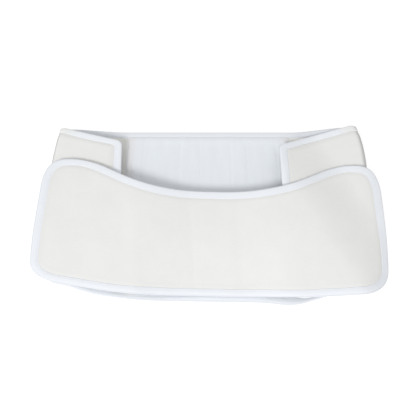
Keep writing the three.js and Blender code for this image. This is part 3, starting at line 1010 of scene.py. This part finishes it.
def hook_finish(colours):
    finish = Finish("white hook tape")
    place = finish.cloth_place()
    across, up = finish.parts(place)
    hooks = finish.wave(across, 1.3) * finish.wave(up, 1.6)
    grain = finish.noise(place, 2.5, 2.0)
    colour = finish.blend(hooks * 0.7 + grain * 0.3, darker(colours.hooks, 0.88), opaque(colours.hooks))
    height = finish.between(hooks, 0.35, 0.75) + grain * 0.2
    normal = finish.bump(height, 0.0004, 0.8)
    return finish.surface(base_color=colour, roughness=grain * 0.1 + 0.5, normal=normal)


def thread_finish(colours):
    finish = Finish("white sewing thread")
    along, around = finish.parts(finish.cloth_place())
    twist = finish.wave(along * 1.0 + around * 1.6, 0.42)
    colour = finish.blend(twist, darker(colours.thread, 0.86), opaque(colours.thread))
    return finish.surface(base_color=colour, roughness=0.5, normal=finish.bump(twist, 0.00004, 0.7))


def floor_finish(colours):
    finish = Finish("pale floor")
    place = finish.node("ShaderNodeTexCoord", {}, output="Object")
    speckle = finish.noise(place, 3.0, 2.0)
    colour = finish.blend(speckle, darker(colours.floor, 0.985), opaque(colours.floor))
    glow = (1.0, 1.0, 1.0, 1)
    return finish.surface(
        base_color=colour, roughness=0.9, emission_color=glow, emission_strength=FLOOR_GLOW
    )


def ready_finish(name, maker, context):
    """The named material, made the first time that it is asked for"""
    return bpy.data.materials.get(name) or maker(context.scene.belt_colours)


# Operators


class BELT_OT_band(bpy.types.Operator):
    """Makes the padded band, folded over at both ends"""

    bl_idname = "belt.band"
    bl_label = "Band cloth"
    bl_options = {"REGISTER", "UNDO"}

    def execute(self, context):
        sizes = context.scene.belt_sizes
        piece = cloth_piece("band_cloth", band_corners(), band_place, sizes, band_relief)
        piece.data.materials.append(ready_finish("cream loop cloth", loop_cloth_finish, context))
        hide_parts("band")
        return {"FINISHED"}


class BELT_OT_front_panel(bpy.types.Operator):
    """Makes the padded front panel that lies on the folded ends"""

    bl_idname = "belt.front_panel"
    bl_label = "Front panel cloth"
    bl_options = {"REGISTER", "UNDO"}

    def execute(self, context):
        sizes = context.scene.belt_sizes
        piece = cloth_piece("panel_cloth", panel_corners(), panel_place, sizes)
        piece.data.materials.append(ready_finish("cream loop cloth", loop_cloth_finish, context))
        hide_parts("front_panel")
        return {"FINISHED"}


def bound_cloths():
    """The two cloths with tape round them: name, tape's solid, outline, surface and how the hem wanders"""
    return [
        ("band", "band_binding", band_corners(), band_place, band_hem),
        ("panel", "front_panel_binding", panel_corners(), panel_place, panel_hem),
    ]


class BELT_OT_tapes(bpy.types.Operator):
    """Folds the binding tape over the edges of the band and the front panel"""

    bl_idname = "belt.tapes"
    bl_label = "Binding tape"
    bl_options = {"REGISTER", "UNDO"}

    def execute(self, context):
        sizes = context.scene.belt_sizes
        for name, solid, corners, place, hem_at in bound_cloths():
            tape, flat, width, length = folded_tape(f"{name}_tape", corners, place, hem_at, sizes)
            if name == "band":
                add_values(tape, fold_values(flat))
            tape.data.materials.append(ready_finish("white ribbed tape", tape_finish, context))
            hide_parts(solid)
        return {"FINISHED"}


class BELT_OT_lining(bpy.types.Operator):
    """Lays the lining with its stays on the inside of the back"""

    bl_idname = "belt.lining"
    bl_label = "Back lining"
    bl_options = {"REGISTER", "UNDO"}

    def execute(self, context):
        corners = lining_corners()
        flat, quads, around = sheet_grid(corners, LINING_INSETS, *LINING_CELLS)
        distance = Outline(corners).distance(flat)
        bottom = np.full(len(flat), -(WALL / 2 + 0.03))
        top = lining_top(flat, distance)
        piece = thick_sheet("lining_cloth", flat, quads, around, band_place, top, bottom)
        piece.data.materials.append(ready_finish("bluish white lining", lining_finish, context))
        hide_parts("back_lining")
        return {"FINISHED"}


class BELT_OT_hook_patches(bpy.types.Operator):
    """Makes the two patches of hook tape between the panel and the folded ends"""

    bl_idname = "belt.hook_patches"
    bl_label = "Hook patches"
    bl_options = {"REGISTER", "UNDO"}

    def execute(self, context):
        for name, side in (("hook_patch_left", -1), ("hook_patch_right", 1)):
            corners = rectangle(side * PATCH_ACROSS, PATCH_UP, PATCH_WIDTH, PATCH_HEIGHT, PATCH_CORNER)
            flat, quads, around = sheet_grid(corners, PATCH_INSETS, *PATCH_CELLS)
            distance = Outline(corners).distance(flat)
            half = PATCH_THICKNESS / 2 * (0.55 + 0.45 * smooth(distance, 0, 0.9))
            half = half - 0.15 * ridge(distance, 2.4, 0.6)
            piece = thick_sheet(f"{name}_tape", flat, quads, around, patch_place, half, half)
            piece.data.materials.append(ready_finish("white hook tape", hook_finish, context))
            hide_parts(name)
        return {"FINISHED"}


class BELT_OT_stitching(bpy.types.Operator):
    """Sews the rows along the tapes, the lining's hem and the stays"""

    bl_idname = "belt.stitching"
    bl_label = "Stitching"
    bl_options = {"REGISTER", "UNDO"}

    def execute(self, context):
        sizes = context.scene.belt_sizes
        for name, _, corners, place, hem_at in bound_cloths():
            line = seam_line(corners, sizes.tape_width / MM - TAPE_SEAM, hem_at)
            rows = [(line, place, 1.8, 1), (line, place, 1.8, -1)]
            self.sew(f"{name}_stitching", rows, "binding", context)

        hem = ring_line(lining_corners(), LINING_SEAM)
        outline = Outline(lining_corners())

        def height(flat):
            distance = outline.distance(flat.reshape(-1, 2)).reshape(flat.shape[:-1])
            return lining_top(flat, distance)

        rows = [(hem, band_place, height, 1)]
        low, high = (corner[1] for corner in (lining_corners(4.5)[0], lining_corners(4.5)[2]))
        for start, end in stay_spans():
            for seam in stay_seams(start, end):
                if abs(seam) > LINING_WIDTH / 2 - 3:
                    continue
                up = np.linspace(low, high, 200)
                line = np.stack([np.full(len(up), seam), up], -1)
                rows.append((line, band_place, height, 1))
        self.sew("lining_stitching", rows, "lining", context)
        return {"FINISHED"}

    def sew(self, name, rows, slot, context):
        piece = stitch_rows(name, rows, context.scene.belt_sizes)
        piece.data.materials.append(ready_finish("white sewing thread", thread_finish, context))


class BELT_OT_declare(bpy.types.Operator):
    bl_idname = "belt.declare"
    bl_label = "Declare the cloths"
    bl_options = {"REGISTER", "UNDO"}

    def execute(self, context):
        return {"FINISHED"}


class BELT_OT_stage(bpy.types.Operator):
    """Sets the floor, the lights and the camera"""

    bl_idname = "belt.stage"
    bl_label = "Stage"
    bl_options = {"REGISTER", "UNDO"}

    def execute(self, context):
        self.floor(context)
        self.lights(context)
        self.camera(context)
        return {"FINISHED"}

    def floor(self, context):
        mesh = bpy.data.meshes.new("floor")
        corners = [(i * FLOOR_SIDE, j * FLOOR_SIDE, FLOOR_BELOW) for i, j in SQUARE]
        mesh.from_pydata(corners, [], [(0, 1, 2, 3)])
        floor = bpy.data.objects.new("floor", mesh)
        floor.data.materials.append(ready_finish("pale floor", floor_finish, context))
        context.scene.collection.objects.link(floor)

    def lights(self, context):
        world = bpy.data.worlds.new("studio")
        world.use_nodes = True
        background = world.node_tree.nodes["Background"]
        background.inputs["Color"].default_value = (1, 1, 1, 1)
        background.inputs["Strength"].default_value = SKY_STRENGTH
        context.scene.world = world
        data = bpy.data.lights.new("key", "AREA")
        data.shape = "DISK"
        data.size = KEY_SIZE
        data.energy = KEY_POWER
        light = bpy.data.objects.new("key", data)
        light.location = KEY_PLACE
        x, y, z = KEY_PLACE
        light.rotation_euler = (math.atan2(math.hypot(x, y), z), 0, math.atan2(x, -y))
        context.scene.collection.objects.link(light)
        context.scene.view_settings.view_transform = "Standard"

    def camera(self, context):
        data = bpy.data.cameras.new("camera")
        camera = bpy.data.objects.new("camera", data)
        context.scene.collection.objects.link(camera)
        upward = math.radians(CAMERA_UP)
        back, up = CAMERA_AWAY * math.cos(upward), CAMERA_AWAY * math.sin(upward)
        camera.location = (MOVED[0] * MM, MOVED[1] * MM - back, up)
        camera.rotation_euler = (math.pi / 2 - upward, 0, 0)
        data.sensor_width = 36
        data.lens = data.sensor_width * LENS_PIXELS / VIEW_SIDE
        data.shift_x, data.shift_y = (shift / VIEW_SIDE for shift in SHIFT_PIXELS)
        context.scene.camera = camera


class BELT_PT_pieces(bpy.types.Panel):
    """Lists the belt's pieces, sizes and colours"""

    bl_idname = "BELT_PT_pieces"
    bl_label = "Maternity belt"
    bl_space_type = "VIEW_3D"
    bl_region_type = "UI"
    bl_category = "Belt"

    def draw(self, context):
        layout = self.layout
        for operator in STEPS:
            layout.operator(operator.bl_idname)
        for group in (context.scene.belt_sizes, context.scene.belt_colours):
            box = layout.box()
            for key in group.__annotations__:
                box.prop(group, key)


STEPS = [
    BELT_OT_band,
    BELT_OT_lining,
    BELT_OT_front_panel,
    BELT_OT_tapes,
    BELT_OT_hook_patches,
    BELT_OT_stitching,
    BELT_OT_declare,
    BELT_OT_stage,
]
GROUPS = [BeltSizes, BeltColours]


def register():
    for kind in GROUPS + STEPS + [BELT_PT_pieces]:
        bpy.utils.register_class(kind)
    bpy.types.Scene.belt_sizes = bpy.props.PointerProperty(type=BeltSizes)
    bpy.types.Scene.belt_colours = bpy.props.PointerProperty(type=BeltColours)


def unregister():
    del bpy.types.Scene.belt_colours
    del bpy.types.Scene.belt_sizes
    for kind in reversed(GROUPS + STEPS + [BELT_PT_pieces]):
        bpy.utils.unregister_class(kind)


def main():
    register()
    for step in STEPS:
        group, name = step.bl_idname.split(".")
        getattr(getattr(bpy.ops, group), name)()
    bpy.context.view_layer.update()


if __name__ == "__main__":
    main()
